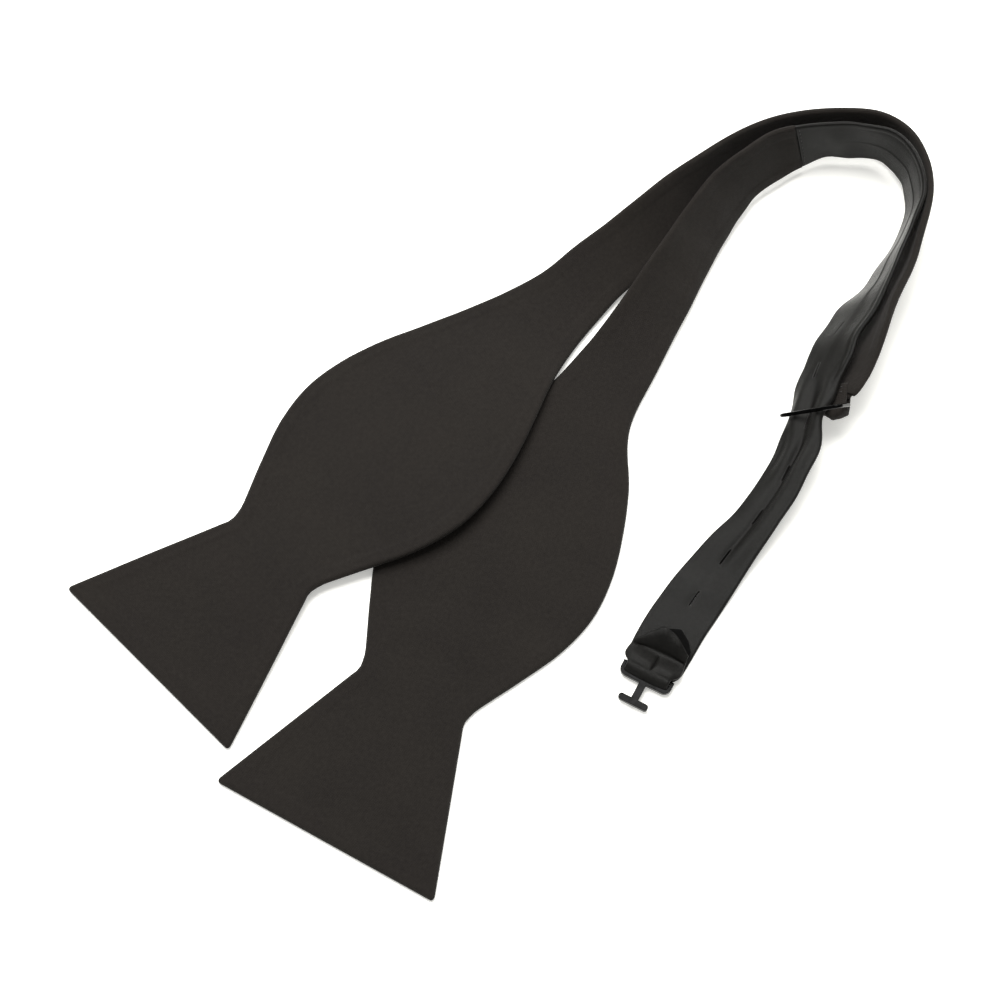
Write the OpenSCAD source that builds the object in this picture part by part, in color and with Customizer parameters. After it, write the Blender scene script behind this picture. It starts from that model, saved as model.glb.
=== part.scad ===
// Self-tie bow tie with an adjustable neckband, laid out open on a table.
// Half A is a blade whose narrow band ends in a cloth loop round a metal eye ring.
// Half B is a blade whose band is sewn to a satin strap. The strap runs through
// the eye ring and carries a flat T-hook on its folded end. Millimetres, +Z up.
// The tie lies on z = 0 and the middle of its plan is the origin.

/* [Blades] */
// Half width of a blade at its straight tip end
tip_half = 35.4; // [33:0.2:37]
// Half width of a blade at its waist
waist_half = 17.3; // [16:0.1:19]
// Distance from the tip end to the waist, where the blade folds
waist_at = 48.6; // [47:0.2:50]
// Thickness of a finished blade, front cloth to back cloth
blade_t = 2.2; // [1.8:0.1:2.2]
// Thickness of one outer cloth with its seam allowance
cloth_t = 0.5; // [0.4:0.05:0.6]
// Gap left between the solids on the two sides of a waist fold
fold_gap = 0.3; // [0.2:0.05:0.4]

/* [Neck strap] */
// Half width of the bands and of the strap
band_half = 9.7; // [9.4:0.1:9.8]
// Thickness of the finished strap
strap_t = 1.5; // [1.3:0.1:1.6]
// Thickness of one layer of strap satin
satin_t = 0.45; // [0.35:0.05:0.5]
// Length of a buttonhole slit
slit_l = 5.2; // [5:0.1:5.6]
// Width of a buttonhole slit
slit_w = 0.5; // [0.4:0.1:0.6]

/* [Eye ring] */
// Outer length of the eye ring, across the strap
ring_l = 20.6; // [20.4:0.1:21]
// Outer height of the eye ring
ring_h = 9.5; // [9:0.1:10]
// Diameter of the ring wire
ring_wire = 1.2; // [1.1:0.1:1.3]
// Radius of the ring's corners at the wire's centre line
ring_corner = 1.6; // [1.4:0.1:1.6]

/* [T-hook] */
// Outer width of the hook frame
hook_w = 16; // [15.8:0.1:16.4]
// Thickness of the hook's sheet metal
hook_t = 1.2; // [1:0.1:1.2]
// Length of the stem between the frame and the T-bar
stem_l = 5.1; // [4.5:0.1:5.5]
// Width of the stem
stem_w = 2.2; // [2:0.1:2.4]
// Length of the T-bar
tbar_l = 9.2; // [8.6:0.2:9.8]
// Width of the T-bar
tbar_w = 2; // [1.8:0.1:2.2]
// Diameter of the rear bar that the strap is folded round
hook_bar = 1.3; // [1.2:0.1:1.3]

/* [Hidden] */

// Plan position of the middle of the laid-out tie in the paths' own grid
middle = [4.7, 3.7];

// Centre lines as rows of [distance from the tip end, x, y, z, tilt].
// Tilt raises the outer edge of the band, which is the left edge on the way
// from the tip; the bands stand nearly on edge round the neck bend.
path_a = [
    [0, -102, -54, 1.1, 0],
    [26, -83.7, -35.5, 1.8, -1],
    [48, -68.2, -19.9, 2.55, -4],
    [59, -60.4, -12.1, 2.9, -4],
    [70, -52.7, -4.3, 3.1, -4],
    [82, -44.3, 4.2, 3.5, -4],
    [97, -33.7, 14.9, 3.8, -4],
    [124, -14.7, 34, 3.5, -4],
    [146, 0.8, 49.7, 2.7, -4],
    [160, 11, 59.3, 1.9, 0],
    [174, 21.4, 68.7, 2.4, 5],
    [187, 30.6, 77.4, 4.4, 13],
    [199, 40.1, 84.6, 6.8, 24],
    [211, 48.8, 92.2, 8.9, 36],
    [222, 56.7, 99.6, 10.3, 47],
    [233, 65, 106.8, 10.8, 57],
    [244, 73.5, 113.6, 10.8, 64],
    [255, 82.5, 119.5, 10.8, 71],
    [266, 92, 124, 10.8, 77],
    [276, 102, 126.8, 10.8, 82],
    [286, 112, 127, 10.8, 84],
    [296, 121.5, 124.5, 10.8, 83],
    [306, 129.2, 118.2, 10.8, 81],
    [316, 133.5, 109.2, 10.8, 83],
    [326, 133.8, 99.5, 11, 83],
    [337, 131, 89.2, 11, 79],
    [350, 126.1, 77.6, 10.5, 76],
    [362, 121, 66.8, 10.3, 72],
    [374, 115.4, 56.2, 10.1, 62],
    [385, 109.6, 46.6, 10, 50],
    [394, 104.6, 39.6, 10, 37],
    [401.5, 99.3, 33.43, 8.5, 33],
    [405, 98.15, 30.06, 8.1, 33],
    [409, 97.34, 26.13, 7.93, 33]
];
path_b = [
    [0, -49, -105, 1.1, 0],
    [80, -10.1, -35.1, 1.1, 0],
    [110, 4.6, -8.9, 1.105, 0],
    [140, 19.4, 17.3, 1.14, 0],
    [150, 24.3, 26, 1.18, 0],
    [164, 31.7, 38, 1.4, 0.5],
    [176, 38.5, 48.2, 2.5, 4],
    [196, 49, 65, 5.8, 23],
    [216, 59, 82, 8, 41],
    [236, 69.5, 98.5, 10, 52],
    [248, 77.5, 108, 11.3, 63],
    [260, 87.3, 115.3, 12.2, 70],
    [272, 98.5, 119.6, 12.8, 82],
    [284, 110.8, 120.6, 13.4, 89],
    [296, 122.3, 117.9, 13.8, 87],
    [308, 129.4, 108.9, 13.8, 82],
    [320, 130.1, 96.6, 12.9, 80],
    [332, 125.7, 85.1, 11.9, 77],
    [345, 119.3, 73.3, 11.4, 71],
    [357, 112.3, 62.2, 11.3, 55],
    [370, 104.8, 51, 10.8, 43],
    [383, 98.8, 39.5, 10.6, 36],
    [396, 94.2, 27.3, 10.5, 34],
    [409, 90, 15, 9.1, 33],
    [422, 84.2, 3.5, 7.1, 31],
    [435, 76.6, -7.5, 4.9, 21],
    [448, 68.1, -17.7, 2.5, 8],
    [458, 61.7, -25.8, 1.25, 2],
    [468, 55.8, -34, 0.8, 0],
    [476, 51.3, -40.6, 0.75, 0],
    [485, 46.8, -48.3, 0.54, 0],
    [497, 41, -59, 0.5, 0]
];

// Half widths past the waist as rows of [distance from the tip end, half width]
bulge = [
    [waist_at, waist_half], [53, 18.2], [59, 21], [67.5, 25.2],
    [81, 31.2], [94.5, 34.2], [108, 33.4], [121.5, 29.9], [137, 23.9]
];
width_a = concat(bulge, [
    [148.5, 19.2], [161, 15], [175, 11.9], [190, 10.6],
    [208, 10], [226, 9.8], [245, band_half], [397, band_half], [404, 8.4], [420, 7.8]
]);
width_b = concat(bulge, [
    [147, 18.2], [157, 14.1], [172, 11.9], [188, 10.3],
    [203, 9.9], [218, 9.8], [234, band_half], [262, band_half], [275, 9.3], [345, 9.3],
    [357, 9], [368, 8.1], [381, 7.4], [397, 7],
    [410, 7], [422, 7.2], [435, 7.1], [448, 7.7], [460, 8.6], [480, 9],
    [488, 8.8], [494, 8.4], [500, 8.3]
]);

// Where half B changes from band to strap, and where the strap is folded
seam_at = 269;
end_at = 493.5;
// Where the band of half A ends, between the legs of its loop
band_end_a = 405.5;

// Position and attitude of the eye ring's lower bar, which the loop holds
bar_at = [96.9, 26.6, 7.6];
ring_yaw = -8;
ring_pitch = 33;
ring_lean = 120;
ring_wire_r = ring_wire / 2;
ring_span = ring_h - ring_wire;

// The cloth loop round the lower bar
loop_half = 7.4;
loop_bore = ring_wire_r + 0.2;
loop_t = 0.95;
loop_leg = 7;

// The hook's rear bar, and the strap's fold round it
hook_bar_r = hook_bar / 2;
fold_bore = hook_bar_r + 0.2;
fold_t = 0.8;
fold_half = 6.65;
strap_end_t = 1;
hook_bar_z = strap_end_t + fold_bore + 0.05;
hook_reach = 3.9;
arm_w = 1;
arm_tail = 0.42;
front_w = 1.3;

// ---- Smooth interpolation through the rows of a list ----
function row_index(rows, s, i = 0) =
    i >= len(rows) - 2 || s < rows[i + 1][0] ? i : row_index(rows, s, i + 1);
function row_slope(rows, i, c) =
    let (lo = max(i - 1, 0))
    let (hi = min(i + 1, len(rows) - 1))
    (rows[hi][c] - rows[lo][c]) / (rows[hi][0] - rows[lo][0]);
function smooth_row(rows, s, c) =
    let (i = row_index(rows, s))
    let (d = rows[i + 1][0] - rows[i][0])
    let (t = (s - rows[i][0]) / d)
    let (h1 = 2 * t ^ 3 - 3 * t ^ 2 + 1)
    let (h2 = t ^ 3 - 2 * t ^ 2 + t)
    let (h3 = 3 * t ^ 2 - 2 * t ^ 3)
    let (h4 = t ^ 3 - t ^ 2)
    h1 * rows[i][c] + h2 * d * row_slope(rows, i, c)
    + h3 * rows[i + 1][c] + h4 * d * row_slope(rows, i + 1, c);

// ---- Ribbon frames: [point, across, normal, along] at a distance ----
function unit(v) = v / norm(v);
function centre(path, s) =
    [smooth_row(path, s, 1) - middle.x, smooth_row(path, s, 2) - middle.y, smooth_row(path, s, 3)];
function ribbon_frame(path, s) =
    let (along = unit(centre(path, s + 0.5) - centre(path, s - 0.5)))
    let (tilt = smooth_row(path, s, 4))
    let (left = unit([-along.y, along.x, 0]))
    let (up = unit(cross(along, cos(tilt) * left + sin(tilt) * [0, 0, 1])))
    [centre(path, s), cross(up, along), up, along];
function on_ribbon(f, across, height) = f[0] + across * f[1] + height * f[2];

// Half width of a half at a distance from its tip end; the tip's corners are slightly cut
corner_cut = 0.7;
function half_width(widths, s) =
    s < waist_at
    ? tip_half + (waist_half - tip_half) * s / waist_at - (s == 0 ? corner_cut : 0)
    : smooth_row(widths, s, 1);

// ---- A closed solid through one outline at each station ----
// outlines[i] is a list of [across, height] pairs at stations[i]
function outline_points(path, stations, outlines) = [
    for (i = [0:len(stations) - 1])
        let (f = ribbon_frame(path, stations[i]))
        for (p = outlines[i]) on_ribbon(f, p[0], p[1])
];
// The four-sided patch from outline point j to point k, between station i and the next.
// Its diagonal leans the same way on every face, so that touching solids match.
function patch(outlines, i, j, k) =
    let (n = len(outlines[0]))
    let (a = i * n + j)
    let (b = i * n + k)
    outlines[i][j][0] < outlines[i][k][0]
    ? [[a, b, b + n], [a, b + n, a + n]]
    : [[a, b, a + n], [b, b + n, a + n]];

module ribbon_solid(path, stations, outlines) {
    n = len(outlines[0]);
    count = len(stations);
    sides = [
        for (i = [0:count - 2])
            for (k = [0:n - 1])
                for (face = patch(outlines, i, k, (k + 1) % n)) face
    ];
    first_cap = [for (k = [n - 1:-1:0]) k];
    last_cap = [for (k = [0:n - 1]) (count - 1) * n + k];
    polyhedron(outline_points(path, stations, outlines), concat(sides, [first_cap, last_cap]), convexity = 10);
}

// Outlines run clockwise as seen against the way of travel.
// A skin is one side of a flat tube: sign is 1 for the front, -1 for the back.
// Distances in from the edge: to its full height, across the seam, and to the hollow
edge_slope = 1.2;
edge_seam = 1.7;
edge_inner = 2.3;
function skin_outline(h, t, inner_t, sign) =
    let (pts = [
        [-h, 0], [-h + edge_slope, t], [h - edge_slope, t], [h, 0],
        [h - edge_seam, 0], [h - edge_inner, inner_t], [-h + edge_inner, inner_t], [-h + edge_seam, 0]
    ])
    sign > 0 ? pts : [for (k = [len(pts) - 1:-1:0]) [pts[k][0], -pts[k][1]]];
function slab_outline(lo, hi, bottom, top) =
    [[lo, bottom], [lo, top], [hi, top], [hi, bottom]];

// Half thickness of a blade: thin at the sewn tip end and at the loop
function blade_half_t(s) =
    blade_t / 2 * lookup(s, [[0, 0.3], [1.5, 1], [380, 1], [396, 0.55], [420, 0.55]]);
function blade_inner_t(s) = max(blade_half_t(s) - cloth_t, 0.04) * (s < 1.6 ? 0.1 : 1);
function strap_half_t(s) = lookup(s, [[470, strap_t / 2], [484, strap_end_t / 2], [500, strap_end_t / 2]]);
function strap_inner_t(s) = max(strap_half_t(s) - satin_t, 0.04);

function spaced(from, to, step) =
    let (n = ceil((to - from) / step))
    [for (i = [0:n]) from + (to - from) * i / n];
tip_stations = concat([0, 1.5], spaced(3, waist_at - fold_gap / 2, 11.5));
blade_start = [waist_at + fold_gap / 2, 53, 57, 62, 68, 75];
a_stations = concat(blade_start, spaced(83, 175, 10), spaced(184, 394, 7.2), spaced(398, band_end_a, 4));
b_stations = concat(blade_start, spaced(83, 175, 10), spaced(184, seam_at, 7.2));

// Distances of the buttonholes' centres from the blade's tip end
slits = [368.2, 384.5, 402, 420, 435.5, 450.5, 466.2];
slit_starts = [for (c = slits) c - slit_l / 2];
strap_stations = concat(
    [seam_at, seam_at + 1],
    spaced(seam_at + 6, slit_starts[0] - 4, 5.5),
    [
        for (c = slits)
            for (s = [c - slit_l / 2, c + slit_l / 2, c + 8]) s
    ],
    spaced(478, end_at, 3.9)
);

module blade_skin(path, widths, stations, sign) {
    ribbon_solid(path, stations, [
        for (s = stations)
            skin_outline(half_width(widths, s), blade_half_t(s), blade_inner_t(s), sign)
    ]);
}

module blade_interlining(path, widths, stations) {
    inner = [for (s = stations) if (s > 2.9) s];
    ribbon_solid(path, inner, [
        for (s = inner)
            let (h = half_width(widths, s) - 2.4)
            let (t = blade_inner_t(s) - 0.03)
            slab_outline(-h, h, -t, t)
    ]);
}

// ---- Half A ----
module a_tip_front() { color("#232224") blade_skin(path_a, width_a, tip_stations, 1); }
module a_tip_back() { color("#1f1e20") blade_skin(path_a, width_a, tip_stations, -1); }
module a_tip_interlining() { color("#d8d2c4") blade_interlining(path_a, width_a, tip_stations); }
module a_front() { color("#232224") blade_skin(path_a, width_a, a_stations, 1); }
module a_back() { color("#1f1e20") blade_skin(path_a, width_a, a_stations, -1); }
module a_interlining() { color("#d8d2c4") blade_interlining(path_a, width_a, a_stations); }

// Places its children at the ring's lower bar: X along the bar, Y back up the band
module at_ring_bar(lean = 0) {
    translate([bar_at.x - middle.x, bar_at.y - middle.y, bar_at.z])
        rotate([lean, -ring_pitch, ring_yaw])
            children();
}

// Cloth loop: wraps the lower bar, with one leg over and one under the band's end
module a_eye_loop() {
    outer = loop_bore + loop_t;
    color("#262527")
        at_ring_bar()
            rotate([90, 0, 90])
                linear_extrude(2 * loop_half, center = true)
                    difference() {
                        union() {
                            circle(outer, $fn = 48);
                            translate([0, -outer]) square([loop_leg, 2 * outer]);
                        }
                        circle(loop_bore, $fn = 48);
                        translate([0, -loop_bore]) square([loop_leg + 1, 2 * loop_bore]);
                    }
}

// Two short rows of thread that close the loop's legs on the band
module a_loop_bartack() {
    row_gap = 1.6;
    stitch_l = 1.5;
    color("#0f0f10")
        at_ring_bar()
            for (row = [0, 1])
                for (k = [-3:3])
                    translate([k * 2.2, loop_leg - 1.4 - row * row_gap, loop_bore + loop_t + 0.17])
                        cube([stitch_l, 0.4, 0.3], center = true);
}

// Rounded rectangular wire ring, with its lower bar on the local X axis
module eye_ring() {
    half_x = ring_l / 2 - ring_wire_r;
    c = ring_corner;
    color("#151516")
        at_ring_bar(ring_lean) {
            for (y = [0, ring_span])
                translate([0, y, 0])
                    rotate([0, 90, 0])
                        cylinder(2 * (half_x - c), ring_wire_r, ring_wire_r, center = true, $fn = 32);
            for (x = [-half_x, half_x])
                translate([x, ring_span / 2, 0])
                    rotate([90, 0, 0])
                        cylinder(ring_span - 2 * c, ring_wire_r, ring_wire_r, center = true, $fn = 32);
            for (x = [-1, 1])
                for (y = [-1, 1])
                    translate([x * (half_x - c), ring_span / 2 + y * (ring_span / 2 - c), 0])
                        rotate([0, 0, x > 0 ? (y > 0 ? 0 : -90) : (y > 0 ? 90 : 180)])
                            rotate_extrude(angle = 90, $fn = 48)
                                translate([c, 0]) circle(ring_wire_r, $fn = 32);
        }
}

// ---- Half B ----
module b_tip_front() { color("#232224") blade_skin(path_b, width_b, tip_stations, 1); }
module b_tip_back() { color("#1f1e20") blade_skin(path_b, width_b, tip_stations, -1); }
module b_tip_interlining() { color("#d8d2c4") blade_interlining(path_b, width_b, tip_stations); }
module b_front() { color("#232224") blade_skin(path_b, width_b, b_stations, 1); }
module b_back() { color("#1f1e20") blade_skin(path_b, width_b, b_stations, -1); }
module b_interlining() { color("#d8d2c4") blade_interlining(path_b, width_b, b_stations); }

// Row of thread that sews the strap to the end of the band
module b_strap_seam() {
    rows = [seam_at + 0.15, seam_at + 0.85];
    color("#0c0c0d")
        for (k = [-4:4])
            ribbon_solid(path_b, rows, [
                for (s = rows)
                    slab_outline(k * 2 - 0.8, k * 2 + 0.8, strap_half_t(s) + 0.06, strap_half_t(s) + 0.33)
            ]);
}

// As skin_outline, with points on both sides of the buttonholes: 2 and 3, 8 and 9
function slit_outline(h, t, inner_t, sign) =
    let (w = slit_w / 2)
    let (pts = [
        [-h, 0], [-h + edge_slope, t], [-w, t], [w, t], [h - edge_slope, t], [h, 0], [h - edge_seam, 0],
        [h - edge_inner, inner_t], [w, inner_t], [-w, inner_t], [-h + edge_inner, inner_t], [-h + edge_seam, 0]
    ])
    sign > 0 ? pts : [for (k = [11:-1:0]) [pts[k][0], -pts[k][1]]];
function starts_slit(s) = len([for (c = slit_starts) if (abs(s - c) < 0.01) c]) > 0;

// One satin side of the strap, with the buttonholes cut through it
module strap_skin(sign) {
    outlines = [
        for (s = strap_stations)
            slit_outline(half_width(width_b, s), strap_half_t(s), strap_inner_t(s), sign)
    ];
    last = len(strap_stations) - 1;
    sides = [
        for (i = [0:last - 1])
            let (open = starts_slit(strap_stations[i]))
            for (k = [0:11])
                if (!(open && (k == 2 || k == 8)))
                    for (face = patch(outlines, i, k, (k + 1) % 12)) face
    ];
    slit_walls = [
        for (i = [0:last - 1])
            if (starts_slit(strap_stations[i]))
                let (a = i * 12)
                for (face = [
                    [a + 2, a + 9, a + 21], [a + 2, a + 21, a + 14],
                    [a + 8, a + 3, a + 15], [a + 8, a + 15, a + 20],
                    [a + 2, a + 3, a + 8, a + 9], [a + 21, a + 20, a + 15, a + 14]
                ]) face
    ];
    caps = [[for (k = [11:-1:0]) k], [for (k = [0:11]) last * 12 + k]];
    polyhedron(outline_points(path_b, strap_stations, outlines), concat(sides, slit_walls, caps), convexity = 10);
}

// Box over one buttonhole, on the strap's centre line: along by wide by high
module slit_box(at, long, wide, bottom, top) {
    f = ribbon_frame(path_b, at);
    multmatrix([
        [f[3].x, f[1].x, f[2].x, f[0].x],
        [f[3].y, f[1].y, f[2].y, f[0].y],
        [f[3].z, f[1].z, f[2].z, f[0].z],
        [0, 0, 0, 1]
    ])
        translate([-long / 2, -wide / 2, bottom])
            cube([long, wide, top - bottom]);
}

module strap_face() { color("#2c2b2e") strap_skin(1); }
module strap_back() { color("#29282b") strap_skin(-1); }

// Interlining of the strap: one strip up to the buttonholes, then one on each side of them
lining_half_t = 0.15;
module strap_interlining() {
    split_at = slit_starts[0] - 0.5;
    beside = slit_w / 2 + 0.2;
    plain = concat([for (s = strap_stations) if (s > seam_at + 2 && s < split_at - 1) s], [split_at - 0.4]);
    split = concat([split_at], [for (s = strap_stations) if (s > split_at && s < 478) s]);
    color("#d8d2c4") {
        lining_strip(plain, [for (s = plain) [-lining_edge(s), -slit_w / 2, slit_w / 2, lining_edge(s)]]);
        lining_strip(split, [for (s = split) [-lining_edge(s), -beside]]);
        lining_strip(split, [for (s = split) [beside, lining_edge(s)]]);
    }
}
function lining_edge(s) = half_width(width_b, s) - 2.5;

// A strip with its columns' distances across given at each station
module lining_strip(stations, columns) {
    n = len(columns[0]);
    ribbon_solid(path_b, stations, [
        for (row = columns)
            concat(
                [for (x = row) [x, lining_half_t]],
                [for (k = [n - 1:-1:0]) [row[k], -lining_half_t]]
            )
    ]);
}

// Thread round each buttonhole, on the strap's face
module buttonhole_stitches() {
    lift = strap_t / 2 + 0.12;
    color("#0c0c0d")
        for (at = slits)
            difference() {
                slit_box(at, slit_l + 1.2, slit_w + 1.2, lift, lift + 0.3);
                slit_box(at, slit_l, slit_w, 0, 3);
            }
}

// Places its children at the hook's rear bar: X across the strap, Y towards the hook
module at_hook_bar() {
    f = ribbon_frame(path_b, end_at);
    translate([f[0].x, f[0].y, hook_bar_z])
        rotate([0, 0, atan2(f[3].y, f[3].x) - 90])
            children();
}

// The strap's end: round the hook's rear bar, back over the strap, and up into
// the loose raw end past the line of stitching
flap_flat = 8;
flap_loose = 6.5;
flap_rise = 3.6;
module strap_end_fold() {
    outer = fold_bore + fold_t;
    flap_z = strap_t - hook_bar_z + 0.05;
    color("#2c2b2e") {
        at_hook_bar() {
            rotate([90, 0, 90])
                linear_extrude(2 * fold_half, center = true) {
                    difference() {
                        circle(outer, $fn = 48);
                        circle(fold_bore, $fn = 48);
                        translate([-2 * outer, -2 * outer]) square([2 * outer, 4 * outer]);
                    }
                    polygon([
                        [0, fold_bore], [0, outer], [-1.5, outer - 0.1], [-4, flap_z + fold_t],
                        [-flap_flat, flap_z + fold_t], [-flap_flat, flap_z],
                        [-4.2, flap_z], [-1.7, fold_bore - 0.15]
                    ]);
                }
            loose_end(flap_z);
        }
    }
}

// Arched raw end of the flap, open towards the strap
module loose_end(base) {
    steps = 8;
    rows = 4;
    n = 2 * (steps + 1);
    function arch(row, k, top) =
        let (x = (2 * k / steps - 1) * (fold_half + 0.25 * row))
        let (rise = flap_rise * (row / rows) ^ 1.3 * (1 - (2 * k / steps - 1) ^ 2))
        [x, -flap_flat - flap_loose * row / rows, base + rise + top * fold_t];
    points = [
        for (row = [0:rows])
            concat(
                [for (k = [0:steps]) arch(row, k, 0)],
                [for (k = [steps:-1:0]) arch(row, k, 1)]
            )
    ];
    flat_points = [for (ring = points) for (p = ring) p];
    sides = [
        for (i = [0:rows - 1])
            for (k = [0:n - 1])
                let (a = i * n + k)
                let (b = i * n + (k + 1) % n)
                for (face = [[a, a + n, b + n], [a, b + n, b]]) face
    ];
    caps = [
        for (row = [0, rows])
            for (k = [0:steps - 1])
                let (a = row * n + k)
                let (d = row * n + n - 1 - k)
                row == 0 ? [a, a + 1, d - 1, d] : [d, d - 1, a + 1, a]
    ];
    polyhedron(flat_points, concat(sides, caps), convexity = 6);
}

// The line of stitching across the flap
module end_fold_stitches() {
    flap_top = strap_t - hook_bar_z + 0.05 + fold_t;
    color("#0c0c0d")
        at_hook_bar()
            for (k = [-3:3])
                translate([k * 1.9, -flap_flat + 0.6, flap_top + 0.17])
                    cube([1.4, 0.4, 0.3], center = true);
}

// Flat hook: a frame on the round rear bar, a stem and a T-bar
module t_hook() {
    tbar_y = hook_reach + stem_l + tbar_w / 2;
    tbar_round = 0.85;
    color("#161617")
        at_hook_bar() {
            rotate([0, 90, 0])
                cylinder(hook_w - arm_w, hook_bar_r, hook_bar_r, center = true, $fn = 32);
            translate([0, 0, -hook_t / 2])
                linear_extrude(hook_t) {
                    difference() {
                        hook_outline(hook_w / 2, hook_reach, 2.2, arm_tail);
                        hook_outline(hook_w / 2 - arm_w, hook_reach - front_w, 1.3, arm_tail + 1);
                    }
                    translate([-stem_w / 2, hook_reach - 0.5]) square([stem_w, stem_l + 1]);
                    offset(tbar_round, $fn = 32)
                        translate([-tbar_l / 2 + tbar_round, tbar_y - tbar_w / 2 + tbar_round])
                            square([tbar_l - 2 * tbar_round, tbar_w - 2 * tbar_round]);
                }
        }
}

// A plate as far as front, with two rounded front corners and square rear ones
module hook_outline(half, front, corner, rear) {
    hull() {
        for (x = [-1, 1])
            translate([x * (half - corner), front - corner])
                circle(corner, $fn = 40);
        translate([-half, -rear]) square([2 * half, 0.2]);
    }
}

a_tip_front();
a_tip_back();
a_tip_interlining();
a_front();
a_back();
a_interlining();
a_eye_loop();
a_loop_bartack();
eye_ring();
b_tip_front();
b_tip_back();
b_tip_interlining();
b_front();
b_back();
b_interlining();
b_strap_seam();
strap_face();
strap_back();
strap_interlining();
buttonhole_stitches();
strap_end_fold();
end_fold_stitches();
t_hook();
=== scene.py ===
import math

import bpy
import numpy as np
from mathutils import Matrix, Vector


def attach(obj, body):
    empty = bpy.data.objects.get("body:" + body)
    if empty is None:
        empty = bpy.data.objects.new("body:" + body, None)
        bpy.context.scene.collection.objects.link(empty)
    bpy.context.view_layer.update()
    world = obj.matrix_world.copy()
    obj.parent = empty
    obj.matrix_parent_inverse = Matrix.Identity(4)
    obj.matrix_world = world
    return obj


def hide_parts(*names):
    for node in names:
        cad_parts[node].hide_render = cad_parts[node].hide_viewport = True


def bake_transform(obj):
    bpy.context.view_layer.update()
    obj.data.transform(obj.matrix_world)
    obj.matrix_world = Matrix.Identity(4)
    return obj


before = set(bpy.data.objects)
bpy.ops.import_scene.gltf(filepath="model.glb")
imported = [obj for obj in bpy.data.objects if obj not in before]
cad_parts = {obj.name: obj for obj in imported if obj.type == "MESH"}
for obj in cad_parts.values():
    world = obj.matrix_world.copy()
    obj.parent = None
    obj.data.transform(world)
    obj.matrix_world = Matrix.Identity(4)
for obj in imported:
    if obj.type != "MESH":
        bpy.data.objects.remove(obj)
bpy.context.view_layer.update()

MM = 0.001
MIDDLE = np.array([4.7, 3.7, 0.0])
LOOK_AT = Vector((-0.0047, -0.0037, 0.0))
CAMERA_AT = Vector((-0.0047, -0.2595, 0.5434))

# ---------------------------------------------------------------- camera
camera_data = bpy.data.cameras.new("camera")
camera_data.lens = 72.07
camera_data.sensor_width = 36
camera_data.dof.use_dof = False
camera = bpy.data.objects.new("camera", camera_data)
bpy.context.scene.collection.objects.link(camera)
camera.location = CAMERA_AT
camera.rotation_euler = (LOOK_AT - CAMERA_AT).to_track_quat("-Z", "Y").to_euler()
bpy.context.scene.camera = camera

# ---------------------------------------------------------------- cloth paths
# Rows of [distance from the tip end, x, y, z, tilt], millimetres and degrees:
# the same centre lines as the CAD solids.
PATH_A = np.array([
    [0, -102, -54, 1.1, 0],
    [26, -83.7, -35.5, 1.8, -1],
    [48, -68.2, -19.9, 2.55, -4],
    [59, -60.4, -12.1, 2.9, -4],
    [70, -52.7, -4.3, 3.1, -4],
    [82, -44.3, 4.2, 3.5, -4],
    [97, -33.7, 14.9, 3.8, -4],
    [124, -14.7, 34, 3.5, -4],
    [146, 0.8, 49.7, 2.7, -4],
    [160, 11, 59.3, 1.9, 0],
    [174, 21.4, 68.7, 2.4, 5],
    [187, 30.6, 77.4, 4.4, 13],
    [199, 40.1, 84.6, 6.8, 24],
    [211, 48.8, 92.2, 8.9, 36],
    [222, 56.7, 99.6, 10.3, 47],
    [233, 65, 106.8, 10.8, 57],
    [244, 73.5, 113.6, 10.8, 64],
    [255, 82.5, 119.5, 10.8, 71],
    [266, 92, 124, 10.8, 77],
    [276, 102, 126.8, 10.8, 82],
    [286, 112, 127, 10.8, 84],
    [296, 121.5, 124.5, 10.8, 83],
    [306, 129.2, 118.2, 10.8, 81],
    [316, 133.5, 109.2, 10.8, 83],
    [326, 133.8, 99.5, 11, 83],
    [337, 131, 89.2, 11, 79],
    [350, 126.1, 77.6, 10.5, 76],
    [362, 121, 66.8, 10.3, 72],
    [374, 115.4, 56.2, 10.1, 62],
    [385, 109.6, 46.6, 10, 50],
    [394, 104.6, 39.6, 10, 37],
    [401.5, 99.3, 33.43, 8.5, 33],
    [405, 98.15, 30.06, 8.1, 33],
    [409, 97.34, 26.13, 7.93, 33],
])
PATH_B = np.array([
    [0, -49, -105, 1.1, 0],
    [80, -10.1, -35.1, 1.1, 0],
    [110, 4.6, -8.9, 1.105, 0],
    [140, 19.4, 17.3, 1.14, 0],
    [150, 24.3, 26, 1.18, 0],
    [164, 31.7, 38, 1.4, 0.5],
    [176, 38.5, 48.2, 2.5, 4],
    [196, 49, 65, 5.8, 23],
    [216, 59, 82, 8, 41],
    [236, 69.5, 98.5, 10, 52],
    [248, 77.5, 108, 11.3, 63],
    [260, 87.3, 115.3, 12.2, 70],
    [272, 98.5, 119.6, 12.8, 82],
    [284, 110.8, 120.6, 13.4, 89],
    [296, 122.3, 117.9, 13.8, 87],
    [308, 129.4, 108.9, 13.8, 82],
    [320, 130.1, 96.6, 12.9, 80],
    [332, 125.7, 85.1, 11.9, 77],
    [345, 119.3, 73.3, 11.4, 71],
    [357, 112.3, 62.2, 11.3, 55],
    [370, 104.8, 51, 10.8, 43],
    [383, 98.8, 39.5, 10.6, 36],
    [396, 94.2, 27.3, 10.5, 34],
    [409, 90, 15, 9.1, 33],
    [422, 84.2, 3.5, 7.1, 31],
    [435, 76.6, -7.5, 4.9, 21],
    [448, 68.1, -17.7, 2.5, 8],
    [458, 61.7, -25.8, 1.25, 2],
    [468, 55.8, -34, 0.8, 0],
    [476, 51.3, -40.6, 0.75, 0],
    [485, 46.8, -48.3, 0.54, 0],
    [497, 41, -59, 0.5, 0],
])
WAIST = 48.6
TIP_HALF, WAIST_HALF = 35.4, 17.3
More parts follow.
